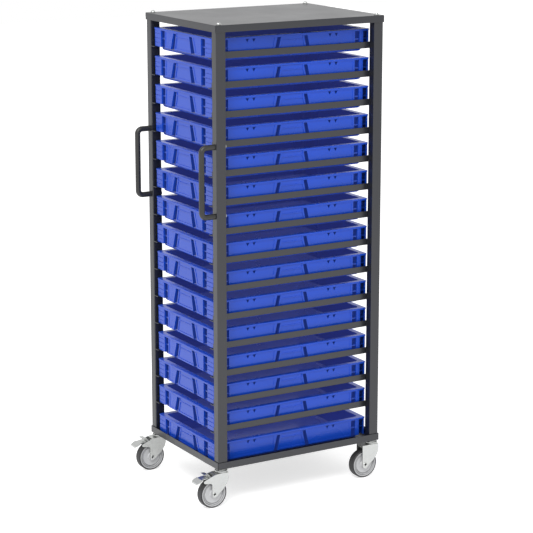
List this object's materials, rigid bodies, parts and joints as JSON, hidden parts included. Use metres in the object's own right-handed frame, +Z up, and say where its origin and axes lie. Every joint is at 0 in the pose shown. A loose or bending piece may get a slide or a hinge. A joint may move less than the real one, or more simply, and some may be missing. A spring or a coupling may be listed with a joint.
{
  "type": "mobile bin cart",
  "caption": "Tall mobile rack cart on swivel castors with low moulded bins sliding on angle runners under a sheet-metal cover, with two bar handles.",
  "frame": {"origin": "on the floor, below the middle of the cart's outer box", "axes": "+Z up; -X is the end with the handles and the braked castors; +Y across the cart, to the back long side"},
  "size_m": [0.723, 0.494, 1.6092],
  "materials": {
    "frame_paint": "fine textured anthracite powder coat",
    "handle_black": "satin black powder coat",
    "bin_blue": "moulded polypropylene, satin",
    "bright_zinc": "bright zinc plate",
    "tyre_grey": "dark grey solid rubber",
    "wheel_grey": "light grey moulded wheel body",
    "plug_black": "black moulded threaded plug"
  },
  "bodies": {
    "frame": {"base_tray": "frame_paint", "top_cover": "frame_paint", "side_frame_front": "frame_paint", "side_frame_back": "frame_paint", "handle_front": "handle_black", "handle_back": "handle_black", "handle_bolt_front_low": "bright_zinc", "handle_bolt_front_high": "bright_zinc", "handle_bolt_back_low": "bright_zinc", "handle_bolt_back_high": "bright_zinc", "cover_screw_front_left": "bright_zinc", "cover_screw_front_right": "bright_zinc", "cover_screw_back_left": "bright_zinc", "cover_screw_back_right": "bright_zinc", "top_plug_front_left": "plug_black", "top_plug_front_right": "plug_black", "top_plug_back_left": "plug_black", "top_plug_back_right": "plug_black", "castor_plug_front_left": "plug_black", "castor_plug_front_right": "plug_black", "castor_plug_back_left": "plug_black", "castor_plug_back_right": "plug_black", "castor_head_front_left": "bright_zinc", "castor_head_front_right": "bright_zinc", "castor_head_back_left": "bright_zinc", "castor_head_back_right": "bright_zinc"},
    "bin_01": {"bin_01": "bin_blue"},
    "bin_02": {"bin_02": "bin_blue"},
    "bin_03": {"bin_03": "bin_blue"},
    "bin_04": {"bin_04": "bin_blue"},
    "bin_05": {"bin_05": "bin_blue"},
    "bin_06": {"bin_06": "bin_blue"},
    "bin_07": {"bin_07": "bin_blue"},
    "bin_08": {"bin_08": "bin_blue"},
    "bin_09": {"bin_09": "bin_blue"},
    "bin_10": {"bin_10": "bin_blue"},
    "bin_11": {"bin_11": "bin_blue"},
    "bin_12": {"bin_12": "bin_blue"},
    "bin_13": {"bin_13": "bin_blue"},
    "bin_14": {"bin_14": "bin_blue"},
    "bin_15": {"bin_15": "bin_blue"},
    "castor_front_left": {"castor_fork_front_left": "bright_zinc", "castor_axle_front_left": "bright_zinc"},
    "wheel_front_left": {"wheel_hub_front_left": "wheel_grey", "wheel_tyre_front_left": "tyre_grey"},
    "brake_pedal_front_left": {"brake_pedal_front_left": "bright_zinc"},
    "castor_front_right": {"castor_fork_front_right": "bright_zinc", "castor_axle_front_right": "bright_zinc"},
    "wheel_front_right": {"wheel_hub_front_right": "wheel_grey", "wheel_tyre_front_right": "tyre_grey"},
    "castor_back_left": {"castor_fork_back_left": "bright_zinc", "castor_axle_back_left": "bright_zinc"},
    "wheel_back_left": {"wheel_hub_back_left": "wheel_grey", "wheel_tyre_back_left": "tyre_grey"},
    "brake_pedal_back_left": {"brake_pedal_back_left": "bright_zinc"},
    "castor_back_right": {"castor_fork_back_right": "bright_zinc", "castor_axle_back_right": "bright_zinc"},
    "wheel_back_right": {"wheel_hub_back_right": "wheel_grey", "wheel_tyre_back_right": "tyre_grey"}
  },
  "joints": [
    {"name": "bin_01_slide", "type": "slide", "parent": "frame", "child": "bin_01", "axis": [-1, 0, 0], "range_m": [-0.63, 0.61]},
    {"name": "bin_02_slide", "type": "slide", "parent": "frame", "child": "bin_02", "axis": [-1, 0, 0], "range_m": [-0.63, 0.61]},
    {"name": "bin_03_slide", "type": "slide", "parent": "frame", "child": "bin_03", "axis": [-1, 0, 0], "range_m": [-0.63, 0.61]},
    {"name": "bin_04_slide", "type": "slide", "parent": "frame", "child": "bin_04", "axis": [-1, 0, 0], "range_m": [-0.63, 0.61]},
    {"name": "bin_05_slide", "type": "slide", "parent": "frame", "child": "bin_05", "axis": [-1, 0, 0], "range_m": [-0.63, 0.61]},
    {"name": "bin_06_slide", "type": "slide", "parent": "frame", "child": "bin_06", "axis": [-1, 0, 0], "range_m": [-0.63, 0.61]},
    {"name": "bin_07_slide", "type": "slide", "parent": "frame", "child": "bin_07", "axis": [-1, 0, 0], "range_m": [-0.63, 0.61]},
    {"name": "bin_08_slide", "type": "slide", "parent": "frame", "child": "bin_08", "axis": [-1, 0, 0], "range_m": [-0.63, 0.61]},
    {"name": "bin_09_slide", "type": "slide", "parent": "frame", "child": "bin_09", "axis": [-1, 0, 0], "range_m": [-0.63, 0.61]},
    {"name": "bin_10_slide", "type": "slide", "parent": "frame", "child": "bin_10", "axis": [-1, 0, 0], "range_m": [-0.63, 0.61]},
    {"name": "bin_11_slide", "type": "slide", "parent": "frame", "child": "bin_11", "axis": [-1, 0, 0], "range_m": [-0.63, 0.61]},
    {"name": "bin_12_slide", "type": "slide", "parent": "frame", "child": "bin_12", "axis": [-1, 0, 0], "range_m": [-0.63, 0.61]},
    {"name": "bin_13_slide", "type": "slide", "parent": "frame", "child": "bin_13", "axis": [-1, 0, 0], "range_m": [-0.63, 0.61]},
    {"name": "bin_14_slide", "type": "slide", "parent": "frame", "child": "bin_14", "axis": [-1, 0, 0], "range_m": [-0.63, 0.61]},
    {"name": "bin_15_lift", "type": "slide", "parent": "frame", "child": "bin_15", "axis": [0, 0, 1], "range_m": [0, 0.024]},
    {"name": "castor_front_left_swivel", "type": "hinge", "parent": "frame", "child": "castor_front_left", "pos_m": [-0.2595, -0.224, 0.12], "axis": [0, 0, 1], "continuous": true},
    {"name": "wheel_front_left_spin", "type": "hinge", "parent": "castor_front_left", "child": "wheel_front_left", "pos_m": [-0.2945, -0.224, 0.05], "axis": [0, 1, 0], "continuous": true},
    {"name": "brake_pedal_front_left_press", "type": "hinge", "parent": "castor_front_left", "child": "brake_pedal_front_left", "pos_m": [-0.3065, -0.224, 0.1075], "axis": [0, -1, 0], "range_deg": [0, 14]},
    {"name": "castor_front_right_swivel", "type": "hinge", "parent": "frame", "child": "castor_front_right", "pos_m": [0.3395, -0.224, 0.12], "axis": [0, 0, 1], "continuous": true},
    {"name": "wheel_front_right_spin", "type": "hinge", "parent": "castor_front_right", "child": "wheel_front_right", "pos_m": [0.3045, -0.224, 0.05], "axis": [0, 1, 0], "continuous": true},
    {"name": "castor_back_left_swivel", "type": "hinge", "parent": "frame", "child": "castor_back_left", "pos_m": [-0.2595, 0.224, 0.12], "axis": [0, 0, 1], "continuous": true},
    {"name": "wheel_back_left_spin", "type": "hinge", "parent": "castor_back_left", "child": "wheel_back_left", "pos_m": [-0.2945, 0.224, 0.05], "axis": [0, 1, 0], "continuous": true},
    {"name": "brake_pedal_back_left_press", "type": "hinge", "parent": "castor_back_left", "child": "brake_pedal_back_left", "pos_m": [-0.3065, 0.224, 0.1075], "axis": [0, -1, 0], "range_deg": [0, 14]},
    {"name": "castor_back_right_swivel", "type": "hinge", "parent": "frame", "child": "castor_back_right", "pos_m": [0.3395, 0.224, 0.12], "axis": [0, 0, 1], "continuous": true},
    {"name": "wheel_back_right_spin", "type": "hinge", "parent": "castor_back_right", "child": "wheel_back_right", "pos_m": [0.3045, 0.224, 0.05], "axis": [0, 1, 0], "continuous": true}
  ]
}
